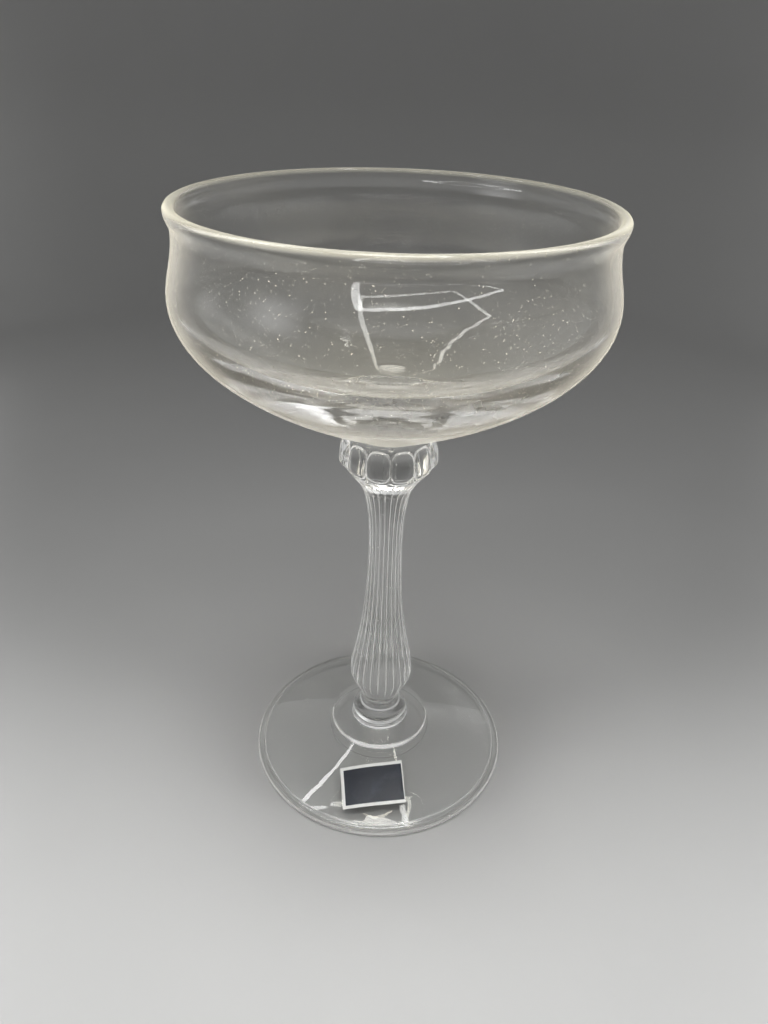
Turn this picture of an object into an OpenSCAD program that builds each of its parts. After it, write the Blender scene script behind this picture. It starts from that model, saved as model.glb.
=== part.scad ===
// Coupe glass: a wide saucer bowl on a lobed knop, a fluted baluster stem and a conical foot.
// Millimetres, +Z up. The origin is the centre of the plane that the foot stands on.
// The front, with the label, faces -Y.

/* [Foot] */
// Diameter of the foot
foot_d = 72.6; // [60:0.1:90]
// Height of the seat on top of the foot
foot_rise = 9.2; // [7.5:0.1:12]
// Height of the crease where the slope meets the rounded edge
foot_edge_h = 2.45; // [1.6:0.05:4]
// Width of the rounded edge, seen from above
foot_edge_w = 2.1; // [1:0.1:4]
// Radius of the small round under the edge
foot_under_round = 0.6; // [0.3:0.1:1]
// Width of the flat ring that the foot stands on
foot_rest_w = 1.6; // [0.8:0.1:4]
// Height of the hollow under the middle of the foot
foot_hollow_h = 5.2; // [3:0.1:6]

/* [Collar] */
// Diameter of the collar's disc, at its lower edge
collar_d = 28; // [22:0.1:34]
// Height of the collar, from the foot to the stem
collar_h = 9.3; // [7.5:0.1:14]
// Height of the step at the edge of the disc
collar_step_h = 1.3; // [0.6:0.1:2]
// How far the step leans in
collar_step_lean = 0.4; // [0:0.1:1]
// Rise of the disc towards its middle
collar_pad_rise = 0.45; // [0.1:0.05:1]
// Radius of the hollow corner between the disc and the bead
collar_fillet = 1.15; // [0.5:0.05:1.8]
// Diameter of the bead above the disc
bead_d = 15.7; // [13:0.1:20]
// Diameter of the neck between the collar and the stem
neck_d = 10.4; // [8:0.1:12]

/* [Stem] */
// Height of the stem, from the collar to the knop
stem_h = 67.5; // [50:0.5:90]
// Diameter of the bulb low on the stem, over the ridges
bulb_d = 17.44; // [13:0.1:22]
// Height of the bulb's widest place above the collar
bulb_z = 9; // [7:0.1:13]
// Diameter of the stem at its thinnest, over the ridges
shaft_d = 8.7; // [6:0.1:11]
// Distance of the thinnest place below the knop
shaft_drop = 15.2; // [10:0.1:24]
// Diameter at the top of the stem, over the ridges
stem_top_d = 11.7; // [10:0.1:14]
// Number of flutes round the stem
flute_count = 24; // [12:1:30]
// Depth of a flute at the bulb
flute_depth = 0.2; // [0.1:0.02:0.5]
// Height over which the flutes run out above the neck
flute_run_out = 4.5; // [2:0.1:7]

/* [Knop] */
// Diameter of the knop, over the lobes
knop_d = 24.4; // [18:0.1:30]
// Height of the knop, from the stem to the bowl
knop_h = 16.5; // [14:0.1:22]
// Height of the knop's widest place above the stem
knop_wide_z = 9.4; // [7:0.1:12]
// Diameter of the joint between the knop and the bowl
knop_top_d = 18.6; // [14:0.1:22]
// Number of lobes round the knop
lobe_count = 12; // [8:1:16]
// Depth of the seam between two lobes
lobe_depth = 0.95; // [0.2:0.05:1.6]
// Depth of the seam round the ends of a lobe
lobe_end_depth = 0.35; // [0.1:0.05:0.8]
// Turn of a lobe seam from the front, in degrees
lobe_turn = 3; // [-15:0.5:15]

/* [Bowl] */
// Diameter over the rim
rim_d = 95; // [85:0.1:105]
// Thickness of the rounded rim
rim_t = 2.3; // [1.2:0.1:3]
// Height of the bowl, from the knop to the rim
bowl_h = 52.2; // [42:0.1:62]
// Diameter of the bowl at its belly
belly_d = 97.1; // [88:0.1:108]
// Distance of the belly below the rim
belly_drop = 18.7; // [14:0.1:24]
// Diameter at the drawn-in band under the rim
band_d = 92.9; // [84:0.1:102]
// Distance of the drawn-in band below the rim
band_drop = 5.3; // [3.5:0.1:9]
// Thickness of the bowl's wall at the belly
bowl_wall = 1.8; // [1.2:0.1:2.6]
// Thickness of the bowl's bottom above the knop
bowl_base_t = 9.5; // [5:0.1:12]

/* [Label] */
// Width of the label across the slope
label_w = 17.1; // [10:0.1:20]
// Length of the label down the slope, seen from above
label_l = 11.3; // [7:0.1:13]
// Thickness of the label's foil
label_t = 0.15; // [0.1:0.01:0.4]
// Thickness of the glue under the foil
label_glue = 0.05; // [0.02:0.01:0.1]
// Distance of the label's middle above the middle of the slope, seen from above
label_up = 0.3; // [-1:0.1:1]
// Distance of the label's middle to the left of the axis
label_left = 1.2; // [-3:0.1:3]
// Turn of the label, seen from above, in degrees
label_turn = 8; // [-20:0.5:20]

/* [Hidden] */
$fn = 128;
glass_tint = [0.88, 0.89, 0.86, 0.5];
warm_glass_tint = [0.9, 0.89, 0.83, 0.45];
foil_tint = [0.09, 0.1, 0.14];

// Heights of the joints between the pieces
collar_base_z = foot_rise;
stem_base_z = collar_base_z + collar_h;
knop_base_z = stem_base_z + stem_h;
bowl_base_z = knop_base_z + knop_h;

// Heights in the stem and the bowl, above their own bases
shaft_z = stem_h - shaft_drop;
belly_z = bowl_h - belly_drop;
band_z = bowl_h - band_drop;

// Radii from the diameters above
foot_r = foot_d / 2;
collar_r = collar_d / 2;
bead_r = bead_d / 2;
neck_r = neck_d / 2;
bulb_r = bulb_d / 2;
shaft_r = shaft_d / 2;
stem_top_r = stem_top_d / 2;
knop_r = knop_d / 2;
knop_top_r = knop_top_d / 2;
rim_r = rim_d / 2;
belly_r = belly_d / 2;
band_r = band_d / 2;

// The foot's slope, from the seat's edge down to the crease
crease_r = foot_r - foot_edge_w;
slope_drop = foot_rise - foot_edge_h;
slope_angle = atan2(slope_drop, crease_r - collar_r);
label_front = (collar_r + crease_r) / 2 - label_up;
rest_out_r = foot_r - foot_under_round;
rest_in_r = rest_out_r - foot_rest_w;
hollow_r = (rest_in_r * rest_in_r + foot_hollow_h * foot_hollow_h) / (2 * foot_hollow_h);

// Heights in the collar, above the foot
pad_z = collar_step_h + collar_pad_rise;
bead_z = pad_z + collar_fillet;

// How far each curve runs on before it bends, as shares of its height or width
bead_low_share = 0.55;
bead_high_share = 0.42;
bulb_low_share = 0.167;
bulb_high_share = 0.256;
shaft_low_share = 0.153;
shaft_high_share = 0.66;
flare_low_share = 0.4;
flare_out_share = 0.225;
flare_high_share = 0.305;
cone_out_share = 0.13;
cone_low_share = 0.35;
cone_high_share = 0.07;
crown_low_share = 0.565;
crown_in_share = 0.586;
crown_high_share = 0.043;
saucer_out_share = 0.39;
saucer_low_share = 0.255;
saucer_high_share = 0.445;
floor_out_share = 0.36;
floor_high_share = 0.5;
band_low_share = 0.34;
band_high_share = 0.42;
lip_low_share = 0.45;
lip_high_share = 0.4;
// Where the lobes lie and the flutes run out, as shares of the knop's height
lobe_mid_share = 0.705;
lobe_half_share = 0.235;
flute_fade_share = 0.2;
flute_end_share = 0.46;

// Steps along curves and round the flutes
curve_steps = 14;
arc_steps = 8;
stem_steps = 8;
knop_steps = 11;
flute_steps = 4;
columns = flute_count * flute_steps;
// How square a lobe is, how flat its top is and how far its seam spreads, in halves of the lobe
lobe_squareness = 3;
lobe_flatness = 4;
seam_spread = 0.25;

// A cubic curve from a to d that leaves towards b and arrives from c
function curve_point(a, b, c, d, t) =
    (1 - t) * (1 - t) * (1 - t) * a
    + 3 * (1 - t) * (1 - t) * t * b
    + 3 * (1 - t) * t * t * c
    + t * t * t * d;
function curve(a, b, c, d, steps) = [for (i = [0 : steps]) curve_point(a, b, c, d, i / steps)];

// A curve between two heights that is upright at both ends
function swell(a, b, low_share, high_share, steps) =
    curve(a, [a[0], a[1] + low_share * (b[1] - a[1])],
          [b[0], b[1] - high_share * (b[1] - a[1])], b, steps);

// An arc of an ellipse about a centre
function arc(centre, size, from, to, steps) =
    [for (i = [0 : steps])
        let (a = from + (to - from) * i / steps)
        centre + [size[0] * cos(a), size[1] * sin(a)]];

function tail(points) = [for (i = [1 : len(points) - 1]) points[i]];
function reversed(points) = [for (i = [len(points) - 1 : -1 : 0]) points[i]];

// Goes smoothly from 0 at the start to 1 at the end
function ease(start, end, x) =
    let (t = min(1, max(0, (x - start) / (end - start))))
    t * t * (3 - 2 * t);

// Place across a repeat, from -1 to 1, with 0 in its middle
function across(turn, count) =
    let (v = turn * count / 360)
    2 * (v - floor(v)) - 1;

// A closed skin over rings of equally many points, from the lowest ring to the highest
module skin(rings) {
    n = len(rings[0]);
    sides = [for (i = [0 : len(rings) - 2], j = [0 : n - 1])
        let (a = i * n + j, b = i * n + (j + 1) % n)
        each [[a, a + n, b + n], [a, b + n, b]]];
    low = [for (j = [0 : n - 1]) j];
    high = [for (j = [n - 1 : -1 : 0]) (len(rings) - 1) * n + j];
    polyhedron([for (ring = rings) each ring], concat(sides, [low, high]));
}

// Outline of the stem over its ridges, as radius and height
stem_outline = concat(
    swell([neck_r, 0], [bulb_r, bulb_z], bulb_low_share, bulb_high_share, stem_steps),
    tail(swell([bulb_r, bulb_z], [shaft_r, shaft_z], shaft_low_share, shaft_high_share, stem_steps)),
    tail(curve(
        [shaft_r, shaft_z],
        [shaft_r, shaft_z + flare_low_share * (stem_h - shaft_z)],
        [shaft_r + flare_out_share * (stem_top_r - shaft_r), stem_h - flare_high_share * (stem_h - shaft_z)],
        [stem_top_r, stem_h], stem_steps)));

// Outline of the knop over its lobes
knop_outline = concat(
    curve(
        [stem_top_r, 0],
        [stem_top_r + cone_out_share * (knop_r - stem_top_r), cone_low_share * knop_wide_z],
        [knop_r, (1 - cone_high_share) * knop_wide_z],
        [knop_r, knop_wide_z], knop_steps),
    tail(curve(
        [knop_r, knop_wide_z],
        [knop_r, knop_wide_z + crown_low_share * (knop_h - knop_wide_z)],
        [knop_top_r + crown_in_share * (knop_r - knop_top_r), knop_h - crown_high_share * (knop_h - knop_wide_z)],
        [knop_top_r, knop_h], knop_steps)));

// How much a flute takes off at a place round the stem: hollow between sharp ridges
function flute(radius, turn) =
    let (u = across(turn + 180 / flute_count, flute_count))
    flute_depth * radius / bulb_r * (1 - u * u);

// How much the seam round each of the knop's lobes takes off: the lobe is a rounded square
function seam(z, turn) =
    let (
        side = pow(abs(across(turn, lobe_count)), lobe_squareness),
        end = pow(abs(z / knop_h - lobe_mid_share) / lobe_half_share, lobe_squareness),
        reach = pow(side + end, 1 / lobe_squareness),
        depth = reach > 0 ? (side * lobe_depth + end * lobe_end_depth) / (side + end) : 0)
    depth * (reach < 1 ? pow(reach, lobe_flatness) : max(0, 1 - (reach - 1) / seam_spread));

function stem_radius(radius, z, turn) = radius - ease(0, flute_run_out, z) * flute(radius, turn);

function knop_radius(radius, z, turn) =
    radius
    - (1 - ease(flute_fade_share * knop_h, flute_end_share * knop_h, z)) * flute(radius, turn)
    - seam(z, turn);

function ring_point(radius, turn, z) =
    [radius * cos(turn + lobe_turn - 90), radius * sin(turn + lobe_turn - 90), z];

module foot() {
    slope = [[collar_r, foot_rise]];
    edge = arc([crease_r, foot_under_round], [foot_edge_w, foot_edge_h - foot_under_round], 90, 0, arc_steps);
    under = arc([rest_out_r, foot_under_round], [foot_under_round, foot_under_round], 0, -90, arc_steps);
    hollow_turn = asin(rest_in_r / hollow_r);
    hollow = arc([0, foot_hollow_h - hollow_r], [hollow_r, hollow_r], 90 - hollow_turn, 90, curve_steps);
    color(glass_tint)
        rotate_extrude()
            polygon(concat([[0, foot_rise]], slope, edge, tail(under), hollow));
}

module collar() {
    step_top = [collar_r - collar_step_lean, collar_step_h];
    corner = arc([bead_r + collar_fillet, bead_z], [collar_fillet, collar_fillet], 270, 180, arc_steps);
    bell = swell([bead_r, bead_z], [neck_r, collar_h], bead_low_share, bead_high_share, curve_steps);
    color(glass_tint)
        translate([0, 0, collar_base_z])
            rotate_extrude()
                polygon(concat([[0, 0], [collar_r, 0], step_top], corner, tail(bell), [[0, collar_h]]));
}

module stem() {
    rings = [for (p = stem_outline)
        [for (j = [0 : columns - 1])
            let (turn = 360 * j / columns)
            ring_point(stem_radius(p[0], p[1], turn), turn, p[1])]];
    color(glass_tint)
        translate([0, 0, stem_base_z])
            skin(rings);
}

module knop() {
    rings = [for (p = knop_outline)
        [for (j = [0 : columns - 1])
            let (turn = 360 * j / columns)
            ring_point(knop_radius(p[0], p[1], turn), turn, p[1])]];
    color(glass_tint)
        translate([0, 0, knop_base_z])
            skin(rings);
}

module bowl() {
    lip_z = bowl_h - rim_t / 2;
    outside = concat(
        curve(
            [knop_top_r, 0],
            [knop_top_r + saucer_out_share * (belly_r - knop_top_r), saucer_low_share * belly_z],
            [belly_r, (1 - saucer_high_share) * belly_z],
            [belly_r, belly_z], 2 * curve_steps),
        tail(swell([belly_r, belly_z], [band_r, band_z], band_low_share, band_high_share, curve_steps)),
        tail(swell([band_r, band_z], [rim_r, lip_z], lip_low_share, lip_high_share, arc_steps)));
    lip = arc([rim_r - rim_t / 2, lip_z], [rim_t / 2, rim_t / 2], 0, 180, 2 * arc_steps);
    in_belly_r = belly_r - bowl_wall;
    in_band_r = band_r - bowl_wall;
    inside = concat(
        curve(
            [0, bowl_base_t],
            [floor_out_share * in_belly_r, bowl_base_t],
            [in_belly_r, belly_z - floor_high_share * (belly_z - bowl_base_t)],
            [in_belly_r, belly_z], 2 * curve_steps),
        tail(swell([in_belly_r, belly_z], [in_band_r, band_z], band_low_share, band_high_share, curve_steps)),
        tail(swell([in_band_r, band_z], [rim_r - rim_t, lip_z], lip_low_share, lip_high_share, arc_steps)));
    color(warm_glass_tint)
        translate([0, 0, bowl_base_z])
            rotate_extrude()
                polygon(concat([[0, 0]], outside, tail(lip), tail(reversed(inside))));
}

module label() {
    lift = [sin(slope_angle), cos(slope_angle)];
    seat = [collar_r, foot_rise];
    crease = [crease_r, foot_edge_h];
    low = label_glue * lift;
    high = (label_glue + label_t) * lift;
    color(foil_tint)
        intersection() {
            rotate_extrude()
                polygon([seat + low, crease + low, crease + high, seat + high]);
            translate([-label_left, -label_front, 0])
                rotate([0, 0, label_turn])
                    linear_extrude(2 * foot_rise)
                        square([label_w, label_l], center = true);
        }
}

foot();
collar();
stem();
knop();
bowl();
label();
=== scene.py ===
import math

import bmesh
import bpy
from mathutils import Matrix, Vector


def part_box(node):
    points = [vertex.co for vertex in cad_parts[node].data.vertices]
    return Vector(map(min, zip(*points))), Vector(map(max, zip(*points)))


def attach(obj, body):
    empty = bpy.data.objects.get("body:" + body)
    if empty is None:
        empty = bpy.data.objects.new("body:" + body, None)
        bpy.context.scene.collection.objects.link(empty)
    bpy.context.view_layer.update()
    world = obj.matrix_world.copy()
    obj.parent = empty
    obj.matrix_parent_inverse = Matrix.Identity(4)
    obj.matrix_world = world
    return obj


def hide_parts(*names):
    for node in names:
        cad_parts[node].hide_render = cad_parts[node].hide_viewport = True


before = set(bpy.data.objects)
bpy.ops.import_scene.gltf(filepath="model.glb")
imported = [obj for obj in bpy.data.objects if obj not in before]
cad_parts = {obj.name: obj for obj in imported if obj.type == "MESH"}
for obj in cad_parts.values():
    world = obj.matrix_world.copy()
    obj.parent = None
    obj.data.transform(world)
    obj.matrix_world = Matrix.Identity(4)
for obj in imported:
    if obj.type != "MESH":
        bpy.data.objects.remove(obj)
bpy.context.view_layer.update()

scene = bpy.context.scene
mm = 0.001
print("frame loaded:", sorted(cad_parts))


# camera, at the photograph's height and angle
camera = {
    "place": (0.0, -175.0, 184.31),
    "pitch": 30.897,   # degrees below level
    "roll": 1.95,
    "yaw": -0.215,
    "lens": 28.125,
    "sensor": 36.0,
    "near": 5.0,
}

eye = bpy.data.objects.new("camera", bpy.data.cameras.new("camera"))
eye.data.lens = camera["lens"]
eye.data.sensor_width = camera["sensor"]
eye.data.clip_start = camera["near"] * mm
eye.matrix_world = (
    Matrix.Translation(Vector(camera["place"]) * mm)
    @ Matrix.Rotation(math.radians(-camera["yaw"]), 4, "Z")
    @ Matrix.Rotation(math.radians(90 - camera["pitch"]), 4, "X")
    @ Matrix.Rotation(math.radians(camera["roll"]), 4, "Z")
)
scene.collection.objects.link(eye)
scene.camera = eye


# a node's socket that python sums can be written with
class Wire:
    def __init__(self, tree, out=None):
        self.tree, self.out = tree, out

    # type, then settings, then the values or links of its sockets
    def node(self, kind, settings=None, sockets=None, give=0):
        made = self.tree.nodes.new(kind)
        for key, value in (settings or {}).items():
            setattr(made, key, value)
        for key, value in (sockets or {}).items():
            if isinstance(value, Wire):
                self.tree.links.new(value.out, made.inputs[key])
            else:
                made.inputs[key].default_value = value
        return Wire(self.tree, made.outputs[give]) if made.outputs else None

    # another output of the same node
    def also(self, give):
        return Wire(self.tree, self.out.node.outputs[give])

    # 0 below the first value, 1 above the second
    def rise(self, low, high):
        return self.node(
            "ShaderNodeMapRange", {"interpolation_type": "SMOOTHSTEP"},
            {"Value": self, "From Min": low, "From Max": high})

    # rises over the first pair of values and falls again over the second
    def between(self, low, high):
        return self.rise(*low) * (1 - self.rise(*high))

    # one colour where it is 0, the other where it is 1
    def blend(self, low, high):
        return self.node("ShaderNodeMix", {"data_type": "RGBA"}, {"Factor": self, "A": low, "B": high}, 2)

    def sum(self, operation, a, b=0):
        return self.node("ShaderNodeMath", {"operation": operation}, {0: a, 1: b})

    def __add__(self, other):
        return self.sum("ADD", self, other)

    def __radd__(self, other):
        return self.sum("ADD", other, self)

    def __sub__(self, other):
        return self.sum("SUBTRACT", self, other)

    def __rsub__(self, other):
        return self.sum("SUBTRACT", other, self)

    def __mul__(self, other):
        return self.sum("MULTIPLY", self, other)

    def __rmul__(self, other):
        return self.sum("MULTIPLY", other, self)

    def __pow__(self, other):
        return self.sum("POWER", self, other)

    def __lt__(self, other):
        return self.sum("LESS_THAN", self, other)


def newFinish(name):
    finish = bpy.data.materials.new(name)
    finish.use_nodes = True
    finish.node_tree.nodes.clear()
    return finish, Wire(finish.node_tree)


# what both kinds of glass share
skin = {
    "waveDetail": 1.0,
    "smearDetail": 5.0,
    "smearRange": (0.42, 0.72),
    "veilRough": 0.9,
    "veilGloss": 0.1,
}


# grains of dust of many sizes
def dustGrains(place, height, look):
    speck = place.node("ShaderNodeTexVoronoi", {}, {"Vector": place, "Scale": look["dustScale"]}, "Distance")
    chance = place.node("ShaderNodeTexWhiteNoise", {}, {"Vector": speck.also("Position")}, "Value")
    return (speck < chance * chance * look["dustSize"]) * height.rise(*look["dustHeights"])


# painted highlights: pale lines painted on as glints, on rings at given radii, along the ridges between the
# flutes and round the seams of the lobes
def paintedGlintLines(height, paintedGlints):
    x, y = height.also("X"), height.also("Y")
    flat = height.node("ShaderNodeCombineXYZ", {}, {"X": x, "Y": y})
    out = height.node("ShaderNodeVectorMath", {"operation": "LENGTH"}, {0: flat}, "Value")
    turn = height.sum("ARCTAN2", y, x)
    ridge, seam = paintedGlints["ridges"], paintedGlints["seams"]
    groove = height.sum("COSINE", turn * ridge["count"] + ridge["turn"])
    lines = groove.rise(*ridge["width"]) * height.between(ridge["low"], ridge["high"]) * ridge["amount"]
    for radius, half, amount in paintedGlints["rings"]:
        lines = lines + out.between((radius - half, radius), (radius, radius + half)) * amount
    cell = height.sum("PINGPONG", turn * (seam["count"] / (2 * math.pi)) + seam["turn"], 0.5)
    side = 1 - cell * 2
    end = height.sum("ABSOLUTE", (height - seam["mid"]) * (1 / seam["half"]))
    reach = (side ** seam["square"] + end ** seam["square"]) ** (1 / seam["square"])
    return lines + reach.between(seam["inside"], seam["outside"]) * seam["amount"]


# clear glass: faint waves from the mould, under a thin veil of smears and dust; the same pale film also
# carries painted light: painted highlight lines, a painted edge highlight where the glass is seen edge on,
# and where given a painted glow over the rim and the thick bottom
def glassFinish(name, look):
    finish, start = newFinish(name)
    place = start.node("ShaderNodeTexCoord", give="Object")
    height = start.node("ShaderNodeSeparateXYZ", {}, {"Vector": place}, "Z")
    wave = start.node("ShaderNodeTexNoise", {}, {
        "Vector": place, "Scale": look["waveScale"], "Detail": skin["waveDetail"]})
    smear = start.node("ShaderNodeTexNoise", {}, {
        "Vector": place, "Scale": look["smearScale"], "Detail": skin["smearDetail"]})
    smear = smear.rise(*skin["smearRange"])
    rim, low = height.rise(*look["rimHeights"]), 1 - height.rise(*look["floorHeights"])
    bump = start.node("ShaderNodeBump", {}, {
        "Height": wave, "Strength": look["waveStrength"], "Distance": look["waveDepth"]})
    glass = start.node("ShaderNodeBsdfPrincipled", {}, {
        "Base Color": (rim + low).blend(look["colour"], look["thickColour"]),
        "Roughness": look["rough"] + smear * look["smearRough"],
        "Normal": bump, "IOR": look["ior"], "Transmission Weight": 1.0})
    # the film thickens where the glass is seen edge on: partly dust seen at a slant, partly a painted edge
    # highlight
    edge = start.node("ShaderNodeLayerWeight", give="Facing").rise(*look["edgeFacing"])
    dustAndPaintedLight = look["film"] + smear * look["haze"] + edge * look["edgeDustAndHighlight"]
    dustAndPaintedLight = dustAndPaintedLight + dustGrains(place, height, look) * look["dustCover"]
    colour = look["dustAndHighlightColour"]
    # painted glow: a cream film over the rim bead and a faint one over the thick bottom, for the light
    # gathered in thick glass
    if "rimPaintedGlow" in look:
        dustAndPaintedLight = dustAndPaintedLight + rim * look["rimPaintedGlow"] + low * look["floorPaintedGlow"]
        colour = rim.blend(look["dustAndHighlightColour"], look["rimGlowColour"])
    # painted highlight lines on rings, ridges and seams
    if "paintedGlints" in look:
        dustAndPaintedLight = dustAndPaintedLight + paintedGlintLines(height, look["paintedGlints"])
    # the pale film shows the smears and dust, and the painted highlights and glow
    film = start.node("ShaderNodeBsdfPrincipled", {}, {
        "Base Color": colour, "Roughness": skin["veilRough"], "Specular IOR Level": skin["veilGloss"]})
    shell = start.node("ShaderNodeMixShader", {}, {0: dustAndPaintedLight, 1: glass, 2: film})
    start.node("ShaderNodeOutputMaterial", {}, {"Surface": shell})
    return finish


# the fused faces inside the glass, which light passes straight through
def fusedFinish():
    finish, start = newFinish("fusedFace")
    gone = start.node("ShaderNodeBsdfPrincipled", {}, {"Base Color": (1, 1, 1, 1), "Alpha": 0.0})
    start.node("ShaderNodeOutputMaterial", {}, {"Surface": gone})
    return finish


stemLook = {
    "colour": (0.985, 0.99, 0.985, 1),
    "thickColour": (0.975, 0.98, 0.97, 1),   # where the glass is thick
    "rimHeights": (0.086, 0.092),            # metres: it thickens from the first to the second
    "floorHeights": (0.018, 0.03),           # and thins from the first to the second
    "rough": 0.004,
    "smearRough": 0.015,
    "smearScale": 55.0,
    "ior": 1.52,
    "waveScale": 160.0,
    "waveStrength": 0.12,
    "waveDepth": 0.00025,
    "dustScale": 700.0,
    "dustSize": 0.12,
    "dustCover": 0.6,
    "dustHeights": (-0.002, -0.001),         # dust lies above these
    # colour of the pale film: dust, and the painted highlights
    "dustAndHighlightColour": (0.82, 0.81, 0.78, 1),
    "film": 0.004,
    "haze": 0.012,
    # edge film: dust seen edge on, and a painted edge highlight
    "edgeDustAndHighlight": 0.3,
    "edgeFacing": (0.7, 1.0),                # from none to all of it, seen edge on
    # painted highlight lines: on the foot's crease and edge and the collar's step, the ridges between the
    # flutes and the seams round the lobes
    "paintedGlints": {
        "rings": (                           # radius, half width in metres, amount
            (0.0342, 0.0003, 0.45), (0.0361, 0.0005, 0.35), (0.0138, 0.0003, 0.4)),
        "ridges": {
            "count": 24, "turn": math.radians(108), "width": (0.8, 1.0),
            "low": (0.02, 0.024), "high": (0.088, 0.094), "amount": 0.3},
        "seams": {
            "count": 12, "turn": 2.9, "mid": 0.09763, "half": 0.00388, "square": 3,
            "inside": (0.88, 0.99), "outside": (1.0, 1.1), "amount": 0.34},
    },
}
bowlLook = {
    "colour": (0.985, 0.985, 0.972, 1),
    "thickColour": (0.96, 0.92, 0.79, 1),
    "rimHeights": (0.1534, 0.1546),
    "floorHeights": (0.107, 0.124),
    "rough": 0.003,
    "smearRough": 0.02,
    "smearScale": 38.0,
    "ior": 1.5,
    "waveScale": 70.0,
    "waveStrength": 0.12,
    "waveDepth": 0.0005,
    "dustScale": 2100.0,
    "dustSize": 0.22,
    "dustCover": 0.65,
    "dustHeights": (0.118, 0.136),
    # colour of the pale film: dust, and the painted edge highlight
    "dustAndHighlightColour": (0.92, 0.86, 0.72, 1),
    # colour of the cream glow painted over the rim bead
    "rimGlowColour": (0.82, 0.78, 0.62, 1),
    "film": 0.012,
    "haze": 0.03,
    # painted glow over the rim bead and the thick bottom
    "rimPaintedGlow": 0.3,
    "floorPaintedGlow": 0.015,
    # dust seen edge on, and a painted edge highlight
    "edgeDustAndHighlight": 0.34,
    "edgeFacing": (0.55, 1.0),
}
stemGlass = glassFinish("pressedGlass", stemLook)
bowlGlass = glassFinish("blownGlass", bowlLook)
fusedFace = fusedFinish()
print("glass finishes made")


def bezier(a, b, c, d, steps):
    points = []
    for i in range(steps + 1):
        t = i / steps
        u = 1 - t
        shares = (u * u * u, 3 * u * u * t, 3 * u * t * t, t * t * t)
        points.append(tuple(sum(s * p[k] for s, p in zip(shares, (a, b, c, d))) for k in (0, 1)))
    return points


# upright at both ends
def swell(a, b, low, high, steps):
    rise = b[1] - a[1]
    return bezier(a, (a[0], a[1] + low * rise), (b[0], b[1] - high * rise), b, steps)


def arc(centre, size, start, end, steps):
    turns = [math.radians(start + (end - start) * i / steps) for i in range(steps + 1)]
    return [(centre[0] + size[0] * math.cos(t), centre[1] + size[1] * math.sin(t)) for t in turns]


def line(a, b, steps):
    return [(a[0] + (b[0] - a[0]) * i / steps, a[1] + (b[1] - a[1]) * i / steps) for i in range(steps + 1)]


def ease(start, end, x):
    t = min(1, max(0, (x - start) / (end - start)))
    return t * t * (3 - 2 * t)


# a closed skin over rows of points in mm; a row of one point is a pole
def skinPiece(name, rows, baseZ, finishes, fusedRows=(), sharpRows=()):
    mesh = bmesh.new()
    rings = [[mesh.verts.new((x * mm, y * mm, baseZ + z * mm)) for x, y, z in row] for row in rows]
    for i, (low, high) in enumerate(zip(rings, rings[1:])):
        count = max(len(low), len(high))
        for j in range(count):
            k = (j + 1) % count
            if len(low) == 1:
                corners = (low[0], high[k], high[j])
            elif len(high) == 1:
                corners = (low[j], low[k], high[0])
            else:
                corners = (low[j], low[k], high[k], high[j])
            face = mesh.faces.new(corners)
            face.smooth = True
            face.material_index = 1 if i in fusedRows else 0
    bmesh.ops.recalc_face_normals(mesh, faces=mesh.faces)
    for i in sharpRows:
        ring = rings[i]
        for j, vert in enumerate(ring):
            edge = mesh.edges.get((vert, ring[(j + 1) % len(ring)]))
            edge.smooth = False
    data = bpy.data.meshes.new(name)
    mesh.to_mesh(data)
    mesh.free()
    for finish in finishes:
        data.materials.append(finish)
    piece = bpy.data.objects.new(name, data)
    scene.collection.objects.link(piece)
    return piece


def turned(outline, segments):
    turns = [2 * math.pi * j / segments for j in range(segments)]
    rows = []
    for r, z in outline:
        if r == 0:
            rows.append([(0, 0, z)])
        else:
            rows.append([(r * math.cos(t), r * math.sin(t), z) for t in turns])
    return rows


gap = 0.01  # mm that each fused face stays back from the joint, so that the two never cross


# sets the end rows back from the joints and closes them
def closeRows(rows, height):
    top = height - gap
    rows[0] = [(x, y, gap) for x, y, z in rows[0]]
    rows[-1] = [(x, y, top) for x, y, z in rows[-1]]
    return [[(0, 0, gap)]] + rows + [[(0, 0, top)]]


def seat(piece, node):
    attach(piece, "root")
    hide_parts(node)


# foot: cone with a rounded edge, hollow below
foot = {
    "radius": 36.3,
    "rise": 9.2,
    "edgeHeight": 2.45,
    "edgeWidth": 2.1,
    "underRound": 0.6,
    "restWidth": 1.6,
    "hollow": 5.2,
    "seatRadius": 14.0,
    "slopeSteps": 40,
    "edgeSteps": 24,
    "underSteps": 10,
    "domeSteps": 60,
    "segments": 288,
}
creaseR = foot["radius"] - foot["edgeWidth"]
restOutR = foot["radius"] - foot["underRound"]
restInR = restOutR - foot["restWidth"]
domeR = (restInR ** 2 + foot["hollow"] ** 2) / (2 * foot["hollow"])
domeTurn = math.degrees(math.asin(restInR / domeR))
footSlope = math.atan2(foot["rise"] - foot["edgeHeight"], creaseR - foot["seatRadius"])
seatZ = foot["rise"] - gap
slopeLine = line((foot["seatRadius"], seatZ), (creaseR, foot["edgeHeight"]), foot["slopeSteps"])
edgeLine = arc(
    (creaseR, foot["underRound"]),
    (foot["edgeWidth"], foot["edgeHeight"] - foot["underRound"]), 90, 0, foot["edgeSteps"])[1:]
edgeLine += arc(
    (restOutR, foot["underRound"]), (foot["underRound"], foot["underRound"]), 0, -90, foot["underSteps"])[1:]
domeLine = arc((0, foot["hollow"] - domeR), (domeR, domeR), 90 - domeTurn, 90, foot["domeSteps"])
domeLine[-1] = (0, foot["hollow"])
creaseRow = len(slopeLine)
restRow = creaseRow + len(edgeLine)
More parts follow.
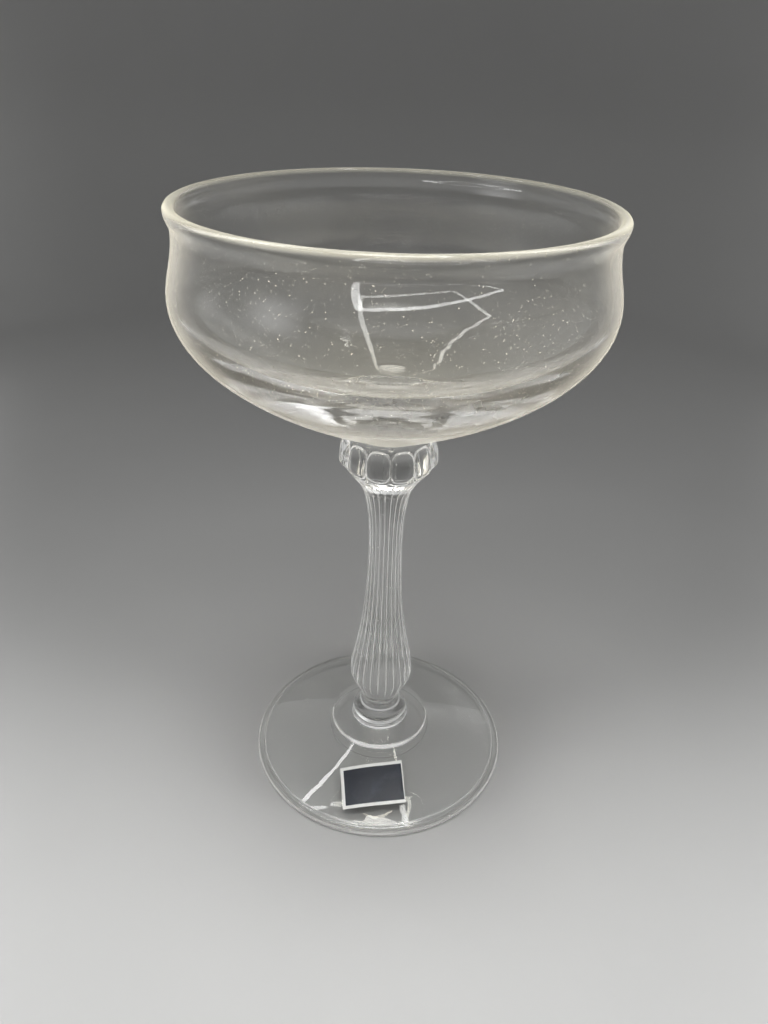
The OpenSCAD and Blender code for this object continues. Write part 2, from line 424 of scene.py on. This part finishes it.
footPiece = skinPiece(
    "footGlass", turned([(0, seatZ)] + slopeLine + edgeLine + domeLine, foot["segments"]),
    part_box("foot")[0].z, (stemGlass, fusedFace),
    fusedRows=(0,), sharpRows=(1, creaseRow, restRow, restRow + 1))
seat(footPiece, "foot")
print("foot made")


# collar: stepped disc with a bell-shaped bead
collar = {
    "radius": 14.0,
    "height": 9.3,
    "stepHeight": 1.3,
    "stepLean": 0.4,
    "stepCorner": ((0.066, -0.22), (0.02, -0.04), (-0.05, 0.01), (-0.3, 0.03)),  # from the step's edge
    "padRise": 0.45,
    "fillet": 1.15,
    "beadRadius": 7.85,
    "neckRadius": 5.2,
    "bellPull": (0.55, 0.42),
    "sideSteps": 4,
    "cornerSteps": 8,
    "padSteps": 10,
    "filletSteps": 14,
    "bellSteps": 36,
    "segments": 224,
}
padZ = collar["stepHeight"] + collar["padRise"]
beadZ = padZ + collar["fillet"]
stepR = collar["radius"] - collar["stepLean"]
filletR = collar["beadRadius"] + collar["fillet"]
neckZ = collar["height"] - gap
stepCorner = [(stepR + r, collar["stepHeight"] + z) for r, z in collar["stepCorner"]]
collarOutline = [(0, gap)]
collarOutline += line((collar["radius"], gap), stepCorner[0], collar["sideSteps"])
collarOutline += bezier(*stepCorner, collar["cornerSteps"])[1:]
collarOutline += line(stepCorner[-1], (filletR, padZ), collar["padSteps"])[1:]
collarOutline += arc(
    (filletR, beadZ), (collar["fillet"], collar["fillet"]), 270, 180, collar["filletSteps"])[1:]
collarOutline += swell(
    (collar["beadRadius"], beadZ), (collar["neckRadius"], neckZ),
    *collar["bellPull"], collar["bellSteps"])[1:]
collarOutline += [(0, neckZ)]
collarPiece = skinPiece(
    "collarGlass", turned(collarOutline, collar["segments"]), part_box("collar")[0].z,
    (stemGlass, fusedFace), fusedRows=(0, len(collarOutline) - 2), sharpRows=(1, len(collarOutline) - 2))
seat(collarPiece, "collar")
print("collar made")


# stem: fluted baluster
stem = {
    "height": 67.5,
    "neckRadius": 5.2,
    "bulbRadius": 8.72,
    "bulbZ": 9.0,
    "bulbPull": (0.167, 0.256),
    "shaftRadius": 4.35,
    "shaftZ": 52.3,
    "shaftPull": (0.153, 0.66),
    "topRadius": 5.85,
    "flareLow": 0.4,
    "flareOut": 0.225,
    "flareHigh": 0.305,
    "flutes": 24,
    "fluteDepth": 0.2,
    "fluteMarks": (-1, -0.95, -0.84, -0.62, -0.32, 0, 0.32, 0.62, 0.84, 0.95),  # across a flute
    "runOut": 4.5,
    "turn": -87.0,     # degrees, where the front is at -90
    "bulbSteps": 40,
    "shaftSteps": 70,
    "flareSteps": 40,
}


def fluteCut(radius, across):
    return stem["fluteDepth"] * radius / stem["bulbRadius"] * (1 - across * across)


def frontTurn(turn):
    return math.radians(turn + stem["turn"])


flareH = stem["height"] - stem["shaftZ"]
flareW = stem["topRadius"] - stem["shaftRadius"]
stemOutline = swell(
    (stem["neckRadius"], 0), (stem["bulbRadius"], stem["bulbZ"]), *stem["bulbPull"], stem["bulbSteps"])
stemOutline += swell(
    (stem["bulbRadius"], stem["bulbZ"]), (stem["shaftRadius"], stem["shaftZ"]),
    *stem["shaftPull"], stem["shaftSteps"])[1:]
stemOutline += bezier(
    (stem["shaftRadius"], stem["shaftZ"]),
    (stem["shaftRadius"], stem["shaftZ"] + stem["flareLow"] * flareH),
    (stem["shaftRadius"] + stem["flareOut"] * flareW, stem["height"] - stem["flareHigh"] * flareH),
    (stem["topRadius"], stem["height"]), stem["flareSteps"])[1:]
stemRows = []
for r, z in stemOutline:
    row = []
    for i in range(stem["flutes"]):
        for mark in stem["fluteMarks"]:
            turn = frontTurn(360 / stem["flutes"] * (i + mark / 2))
            cut = ease(0, stem["runOut"], z) * fluteCut(r, mark)
            row.append(((r - cut) * math.cos(turn), (r - cut) * math.sin(turn), z))
    stemRows.append(row)
stemRows = closeRows(stemRows, stem["height"])
stemPiece = skinPiece(
    "stemGlass", stemRows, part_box("stem")[0].z, (stemGlass, fusedFace),
    fusedRows=(0, len(stemRows) - 2), sharpRows=(1, len(stemRows) - 2))
seat(stemPiece, "stem")
print("stem made")


# knop: lobes above the widest line, the stem's flutes run out below it
knop = {
    "height": 16.5,
    "radius": 12.2,
    "wideZ": 9.4,
    "coneOut": 0.13,
    "coneLow": 0.35,
    "coneHigh": 0.93,
    "topRadius": 9.3,
    "crownLow": 0.565,
    "crownOut": 0.586,
    "crownHigh": 0.043,
    "lobes": 12,
    "lobeDepth": 0.95,
    "endDepth": 0.35,   # of the seam round a lobe's ends
    "lobeMid": 0.705,   # shares of the height
    "lobeHalf": 0.235,
    "fluteFade": 0.2,
    "fluteEnd": 0.46,
    "square": 3,
    "flat": 4,
    "spread": 0.25,     # of the seam, in halves of the lobe
    "columns": 32,      # for each lobe
    "steps": 60,
}


def lobeSeam(across, share):
    side = abs(across) ** knop["square"]
    end = (abs(share - knop["lobeMid"]) / knop["lobeHalf"]) ** knop["square"]
    reach = (side + end) ** (1 / knop["square"])
    if reach == 0:
        return 0
    depth = (side * knop["lobeDepth"] + end * knop["endDepth"]) / (side + end)
    return depth * (reach ** knop["flat"] if reach < 1 else 1 - ease(0, knop["spread"], reach - 1))


coneW = knop["radius"] - stem["topRadius"]
crownW = knop["radius"] - knop["topRadius"]
crownH = knop["height"] - knop["wideZ"]
knopOutline = bezier(
    (stem["topRadius"], 0),
    (stem["topRadius"] + knop["coneOut"] * coneW, knop["coneLow"] * knop["wideZ"]),
    (knop["radius"], knop["coneHigh"] * knop["wideZ"]),
    (knop["radius"], knop["wideZ"]), knop["steps"])
knopOutline += bezier(
    (knop["radius"], knop["wideZ"]),
    (knop["radius"], knop["wideZ"] + knop["crownLow"] * crownH),
    (knop["topRadius"] + knop["crownOut"] * crownW, knop["height"] - knop["crownHigh"] * crownH),
    (knop["topRadius"], knop["height"]), knop["steps"])[1:]
knopRows = []
columns = knop["lobes"] * knop["columns"]
for r, z in knopOutline:
    share = z / knop["height"]
    fluteShare = 1 - ease(knop["fluteFade"], knop["fluteEnd"], share)
    row = []
    for j in range(columns):
        lobe = 2 * (j % knop["columns"]) / knop["columns"] - 1
        flute = 2 * ((j * stem["flutes"] / columns + 0.5) % 1) - 1
        turn = frontTurn(360 * j / columns)
        cut = fluteShare * fluteCut(r, flute) + lobeSeam(lobe, share)
        row.append(((r - cut) * math.cos(turn), (r - cut) * math.sin(turn), z))
    knopRows.append(row)
knopRows = closeRows(knopRows, knop["height"])
knopPiece = skinPiece(
    "knopGlass", knopRows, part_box("knop")[0].z, (stemGlass, fusedFace),
    fusedRows=(0, len(knopRows) - 2), sharpRows=(1, len(knopRows) - 2))
seat(knopPiece, "knop")
print("knop made")


# bowl: wide saucer, drawn in under a rounded rim
bowl = {
    "height": 52.2,
    "rimRadius": 47.5,
    "rimThick": 2.3,
    "lipPull": (0.45, 0.4),
    "bellyRadius": 48.55,
    "bellyZ": 33.5,
    "saucerOut": 0.39,
    "saucerLow": 0.255,
    "saucerHigh": 0.555,
    "bandRadius": 46.45,
    "bandZ": 46.9,
    "bandPull": (0.34, 0.42),
    "wall": 1.8,
    "base": 9.5,
    "floorOut": 0.36,
    "footRadius": 9.3,
    "floorRings": {"depth": 0.012, "width": 3.1, "start": (2, 7), "end": (15, 26)},
    "underRings": {"depth": 0.006, "width": 4.6, "start": (11, 17), "end": (34, 44)},
    "saucerSteps": 120,
    "floorSteps": 150,
    "bandSteps": 26,
    "lipSteps": 12,
    "rimSteps": 20,
    "segments": 288,
}


# faint rings left in the glass between two radii
def addRings(outline, rings):
    shaped = []
    for r, z in outline:
        window = ease(*rings["start"], r) * (1 - ease(*rings["end"], r))
        shaped.append((r, z + rings["depth"] * window * math.sin(2 * math.pi * r / rings["width"])))
    return shaped


# from the belly up to the rim
def upperWall(belly, band, lip):
    return (
        swell((belly, bowl["bellyZ"]), (band, bowl["bandZ"]), *bowl["bandPull"], bowl["bandSteps"])[1:]
        + swell((band, bowl["bandZ"]), (lip, lipZ), *bowl["lipPull"], bowl["lipSteps"])[1:])


lipR = bowl["rimThick"] / 2
lipZ = bowl["height"] - lipR
saucerW = bowl["bellyRadius"] - bowl["footRadius"]
inBelly = bowl["bellyRadius"] - bowl["wall"]
inBand = bowl["bandRadius"] - bowl["wall"]
outside = addRings(bezier(
    (bowl["footRadius"], gap),
    (bowl["footRadius"] + bowl["saucerOut"] * saucerW, bowl["saucerLow"] * bowl["bellyZ"]),
    (bowl["bellyRadius"], bowl["saucerHigh"] * bowl["bellyZ"]),
    (bowl["bellyRadius"], bowl["bellyZ"]), bowl["saucerSteps"]), bowl["underRings"])
outside += upperWall(bowl["bellyRadius"], bowl["bandRadius"], bowl["rimRadius"])
lip = arc((bowl["rimRadius"] - lipR, lipZ), (lipR, lipR), 0, 180, bowl["rimSteps"])
inside = addRings(bezier(
    (0, bowl["base"]), (bowl["floorOut"] * inBelly, bowl["base"]),
    (inBelly, (bowl["bellyZ"] + bowl["base"]) / 2), (inBelly, bowl["bellyZ"]),
    bowl["floorSteps"]), bowl["floorRings"])
inside += upperWall(inBelly, inBand, bowl["rimRadius"] - bowl["rimThick"])
bowlOutline = [(0, gap)] + outside + lip[1:] + inside[::-1][1:]
bowlPiece = skinPiece(
    "bowlGlass", turned(bowlOutline, bowl["segments"]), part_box("bowl")[0].z,
    (bowlGlass, fusedFace), fusedRows=(0,), sharpRows=(1,))
seat(bowlPiece, "bowl")
print("bowl made")


# label: foil on the foot's slope, its right end lifting off
label = {
    "width": 17.1,
    "length": 11.3,
    "thick": 0.12,
    "glue": 0.05,
    "left": 1.2,
    "front": 23.8,
    "turn": 7.5,
    "border": 0.85,
    "endBorder": 0.25,
    "lift": 1.0,
    "liftFrom": 0.2,    # share of the half width
    "liftSkew": 0.15,   # the far corner lifts more
    "across": 72,
    "along": 48,
    "sharpTurn": 50.0,
}
foilLook = {
    "ink": (0.008, 0.012, 0.022, 1),
    "rubbedInk": (0.03, 0.038, 0.055, 1),
    "rubScale": 260.0,
    "rubDetail": 6.0,
    "rubRange": (0.5, 0.78),
    "grainScale": 900.0,
    "grainDetail": 4.0,
    "grainShare": 0.15,
    "creaseScale": 190.0,
    "creaseDetail": 2.0,
    "creaseStrength": 0.15,
    "creaseDepth": 0.0002,
    "rough": 0.28,
    "rubRough": 0.2,
    "gloss": 0.2,
}
borderLook = {
    "paint": (0.86, 0.86, 0.83, 1),
    "wornPaint": (0.68, 0.68, 0.66, 1),
    "wearScale": 420.0,
    "wearDetail": 5.0,
    "wearStrength": 0.2,
    "wearDepth": 0.0001,
    "rough": 0.32,
    "wearRough": 0.15,
}


def foilFinish(look):
    finish, start = newFinish("darkFoil")
    place = start.node("ShaderNodeTexCoord", give="Object")
    grain = start.node("ShaderNodeTexNoise", {}, {
        "Vector": place, "Scale": look["grainScale"], "Detail": look["grainDetail"]})
    rub = start.node("ShaderNodeTexNoise", {}, {
        "Vector": place, "Scale": look["rubScale"], "Detail": look["rubDetail"]})
    rub = rub.rise(*look["rubRange"])
    crease = start.node("ShaderNodeTexNoise", {}, {
        "Vector": place, "Scale": look["creaseScale"], "Detail": look["creaseDetail"]})
    bump = start.node("ShaderNodeBump", {}, {
        "Height": crease + grain * look["grainShare"],
        "Strength": look["creaseStrength"], "Distance": look["creaseDepth"]})
    foil = start.node("ShaderNodeBsdfPrincipled", {}, {
        "Base Color": rub.blend(look["ink"], look["rubbedInk"]),
        "Roughness": look["rough"] + rub * look["rubRough"],
        "Normal": bump, "Specular IOR Level": look["gloss"]})
    start.node("ShaderNodeOutputMaterial", {}, {"Surface": foil})
    return finish


def borderFinish(look):
    finish, start = newFinish("paleBorder")
    place = start.node("ShaderNodeTexCoord", give="Object")
    wear = start.node("ShaderNodeTexNoise", {}, {
        "Vector": place, "Scale": look["wearScale"], "Detail": look["wearDetail"]})
    bump = start.node("ShaderNodeBump", {}, {
        "Height": wear, "Strength": look["wearStrength"], "Distance": look["wearDepth"]})
    coat = start.node("ShaderNodeBsdfPrincipled", {}, {
        "Base Color": wear.blend(look["paint"], look["wornPaint"]),
        "Roughness": look["rough"] + wear * look["wearRough"], "Normal": bump})
    start.node("ShaderNodeOutputMaterial", {}, {"Surface": coat})
    return finish


labelTurn = math.radians(label["turn"])
halfW, halfL = label["width"] / 2, label["length"] / 2


def labelPoint(u, v, height):
    x = -label["left"] + u * math.cos(labelTurn) - v * math.sin(labelTurn)
    y = -label["front"] + u * math.sin(labelTurn) + v * math.cos(labelTurn)
    out = math.hypot(x, y)
    curl = max(0, (u / halfW - label["liftFrom"]) / (1 - label["liftFrom"])) ** 2
    height += label["lift"] * curl * (1 - label["liftSkew"] + label["liftSkew"] * v / halfL)
    z = foot["rise"] - (out - foot["seatRadius"]) * math.tan(footSlope)
    side = height * math.sin(footSlope) / out
    return (x + x * side) * mm, (y + y * side) * mm, (z + height * math.cos(footSlope)) * mm


def labelMarks(half, steps, start, end):
    low, high = start - half, half - end
    marks = [low + (high - low) * i / steps for i in range(steps + 1)]
    return [-half, low - start / 2] + marks + [high + end / 2, half]


labelMesh = bmesh.new()
uMarks = labelMarks(halfW, label["across"], label["border"], label["endBorder"])
vMarks = labelMarks(halfL, label["along"], label["border"], label["border"])
sheets = []
for height in (label["glue"], label["glue"] + label["thick"]):
    sheets.append([[labelMesh.verts.new(labelPoint(u, v, height)) for u in uMarks] for v in vMarks])
low, high = sheets
for i in range(len(vMarks) - 1):
    for j in range(len(uMarks) - 1):
        top = labelMesh.faces.new((high[i][j], high[i][j + 1], high[i + 1][j + 1], high[i + 1][j]))
        under = labelMesh.faces.new((low[i][j], low[i + 1][j], low[i + 1][j + 1], low[i][j + 1]))
        u, v = (uMarks[j] + uMarks[j + 1]) / 2, (vMarks[i] + vMarks[i + 1]) / 2
        inMiddle = (
            label["border"] - halfW < u < halfW - label["endBorder"]
            and abs(v) < halfL - label["border"])
        top.material_index = 0 if inMiddle else 1
        top.smooth = under.smooth = True
for i in range(len(vMarks) - 1):
    labelMesh.faces.new((low[i][0], high[i][0], high[i + 1][0], low[i + 1][0]))
    labelMesh.faces.new((low[i][-1], low[i + 1][-1], high[i + 1][-1], high[i][-1]))
for j in range(len(uMarks) - 1):
    labelMesh.faces.new((low[0][j], low[0][j + 1], high[0][j + 1], high[0][j]))
    labelMesh.faces.new((low[-1][j], high[-1][j], high[-1][j + 1], low[-1][j + 1]))
bmesh.ops.recalc_face_normals(labelMesh, faces=labelMesh.faces)
labelData = bpy.data.meshes.new("foilLabel")
labelMesh.to_mesh(labelData)
labelMesh.free()
labelData.set_sharp_from_angle(angle=math.radians(label["sharpTurn"]))
labelData.materials.append(foilFinish(foilLook))
labelData.materials.append(borderFinish(borderLook))
labelPiece = bpy.data.objects.new("foilLabel", labelData)
scene.collection.objects.link(labelPiece)
seat(labelPiece, "label")
print("label made")


# stage: plain pale floor that curves up into a low round wall, pale sky over it
stage = {
    "middle": 30.0,
    "floorRadius": 440.0,
    "bend": 150.0,
    "wall": 230.0,
    "drop": 0.03,
    "colour": (0.46, 0.46, 0.455, 1),
    "paleColour": (0.48, 0.48, 0.475, 1),
    "mottleScale": 30.0,
    "mottleDetail": 6.0,
    "rough": 0.45,
    "mottleRough": 0.05,
    "gloss": 0.2,
    "sky": 0.62,     # as the camera and the glass see it
    "fill": 0.1,     # as it lights the rest
    "floorSteps": 20,
    "bendSteps": 24,
    "segments": 128,
}


def floorFinish():
    finish, start = newFinish("paleFloor")
    place = start.node("ShaderNodeTexCoord", give="Object")
    mottle = start.node("ShaderNodeTexNoise", {}, {
        "Vector": place, "Scale": stage["mottleScale"], "Detail": stage["mottleDetail"]})
    floor = start.node("ShaderNodeBsdfPrincipled", {}, {
        "Base Color": mottle.blend(stage["colour"], stage["paleColour"]),
        "Roughness": stage["rough"] + stage["mottleRough"] * mottle,
        "Specular IOR Level": stage["gloss"]})
    start.node("ShaderNodeOutputMaterial", {}, {"Surface": floor})
    return finish


floorZ = -stage["drop"]
stageOutline = [(0, floorZ)]
stageOutline += line((stage["middle"], floorZ), (stage["floorRadius"], floorZ), stage["floorSteps"])
stageOutline += arc(
    (stage["floorRadius"], stage["bend"] + floorZ),
    (stage["bend"], stage["bend"]), -90, 0, stage["bendSteps"])[1:]
stageOutline += [(stage["floorRadius"] + stage["bend"], stage["wall"])]
floorPiece = skinPiece("paleFloor", turned(stageOutline, stage["segments"]), 0, (floorFinish(),))

scene.world = bpy.data.worlds.new("studio")
scene.world.use_nodes = True
scene.world.node_tree.nodes.clear()
skyStart = Wire(scene.world.node_tree)
seen = skyStart.node("ShaderNodeLightPath", give="Is Camera Ray")
through = seen.sum("MAXIMUM", seen.also("Is Glossy Ray"), seen.also("Is Transmission Ray"))
seen = seen.sum("MAXIMUM", seen, through)
sky = skyStart.node("ShaderNodeBackground", {}, {
    "Color": (1, 1, 1, 1), "Strength": stage["fill"] + seen * (stage["sky"] - stage["fill"])})
skyStart.node("ShaderNodeOutputWorld", {}, {"Surface": sky})


# lamps: a frame of four strips overhead, soft boxes in front, beside and behind, two low over the floor
stripFrame = {
    "height": 490.0,
    "middle": (-80.0, -20.0),
    "sides": (315.0, 244.0),
    "turn": 12.0,
    "width": 14.0,
    "glow": 0.56,     # power for each metre
}
frontLamp = {
    "size": (520.0, 160.0),
    "place": (0.0, -90.0, 330.0),
    "power": 0.24,
    "spread": 40.0,   # degrees
}
lowLamp = {
    "size": (180.0, 440.0),
    "place": (285.0, 20.0, 120.0),
    "turn": 22.0,
    "power": 0.31,
    "spread": 75.0,
}
sideBox = {
    "size": (300.0, 200.0),
    "reach": 320.0,
    "height": 112.0,
    "turn": 68.0,     # degrees from the front
    "tilt": 1.0,      # upwards, so that the light passes over the floor
    "power": 0.32,
    "spread": 40.0,
    "mirrored": False,
}
sheenBox = {
    "size": (900.0, 260.0),
    "reach": 430.0,
    "height": 250.0,
    "turn": -60.0,
    "tilt": 0.0,
    "power": 0.14,
    "spread": 40.0,
    "fade": 0.5,      # share of the box over which its light fades in
}
backBox = {
    "size": (280.0, 200.0),
    "reach": 480.0,
    "height": 300.0,
    "turn": 155.0,
    "tilt": -32.0,
    "power": 0.16,
    "fade": 0.4,
}


def addLamp(name, size, power, matrix, fade=0, spread=0, mirrored=True):
    lamp = bpy.data.objects.new(name, bpy.data.lights.new(name, "AREA"))
    lamp.data.shape = "RECTANGLE"
    lamp.data.size, lamp.data.size_y = size[0] * mm, size[1] * mm
    lamp.data.energy = power
    lamp.matrix_world = matrix
    lamp.visible_camera = False
    lamp.visible_glossy = lamp.visible_transmission = mirrored
    scene.collection.objects.link(lamp)
    if spread:
        lamp.data.spread = math.radians(spread)
    if fade:
        lamp.data.use_nodes = True
        start = Wire(lamp.data.node_tree)
        spot = start.node("ShaderNodeNewGeometry", give="Parametric")
        across = start.node("ShaderNodeSeparateXYZ", {}, {"Vector": spot}, "X")
        fadeIn, fadeOut = (0, fade), (1 - fade, 1)
        soft = across.between(fadeIn, fadeOut) * across.also("Y").between(fadeIn, fadeOut)
        glow = soft.blend((0, 0, 0, 1), (1, 1, 1, 1))
        emission = lamp.data.node_tree.nodes["Emission"]
        lamp.data.node_tree.links.new(glow.out, emission.inputs["Color"])


def turnZ(degrees):
    return Matrix.Rotation(math.radians(degrees), 4, "Z")


def shift(x, y, z):
    return Matrix.Translation(Vector((x, y, z)) * mm)


# a soft box that faces the glass
def addBox(name, box, side=1):
    upright = Matrix.Rotation(math.radians(90 + box["tilt"]), 4, "X")
    addLamp(
        name, box["size"], box["power"],
        turnZ(side * box["turn"]) @ shift(0, -box["reach"], box["height"]) @ upright,
        box.get("fade", 0), box.get("spread", 0), box.get("mirrored", True))


frameMiddle = shift(*stripFrame["middle"], stripFrame["height"])
for name, quarter in (("stripBack", 0), ("stripLeft", 90), ("stripFront", 180), ("stripRight", 270)):
    length, across = stripFrame["sides"] if quarter % 180 == 0 else stripFrame["sides"][::-1]
    length += stripFrame["width"]
    addLamp(
        name, (length, stripFrame["width"]), stripFrame["glow"] * length * mm,
        frameMiddle @ turnZ(stripFrame["turn"] + quarter) @ shift(0, across / 2, 0))
addLamp(
    "softFront", frontLamp["size"], frontLamp["power"],
    shift(*frontLamp["place"]), spread=frontLamp["spread"])
for name, side in (("softLeft", -1), ("softRight", 1)):
    addBox(name, sideBox, side)
for name, side in (("lowLeft", -1), ("lowRight", 1)):
    x, y, z = lowLamp["place"]
    addLamp(
        name, lowLamp["size"], lowLamp["power"],
        shift(side * x, y, z) @ turnZ(-side * lowLamp["turn"]),
        spread=lowLamp["spread"], mirrored=False)
addBox("sheenLeft", sheenBox)
addBox("softBack", backBox)

scene.view_settings.view_transform = "Standard"
scene.cycles.max_bounces = 24
scene.cycles.transmission_bounces = 24
scene.cycles.glossy_bounces = 12
scene.cycles.transparent_max_bounces = 24
print("stage and lamps made")
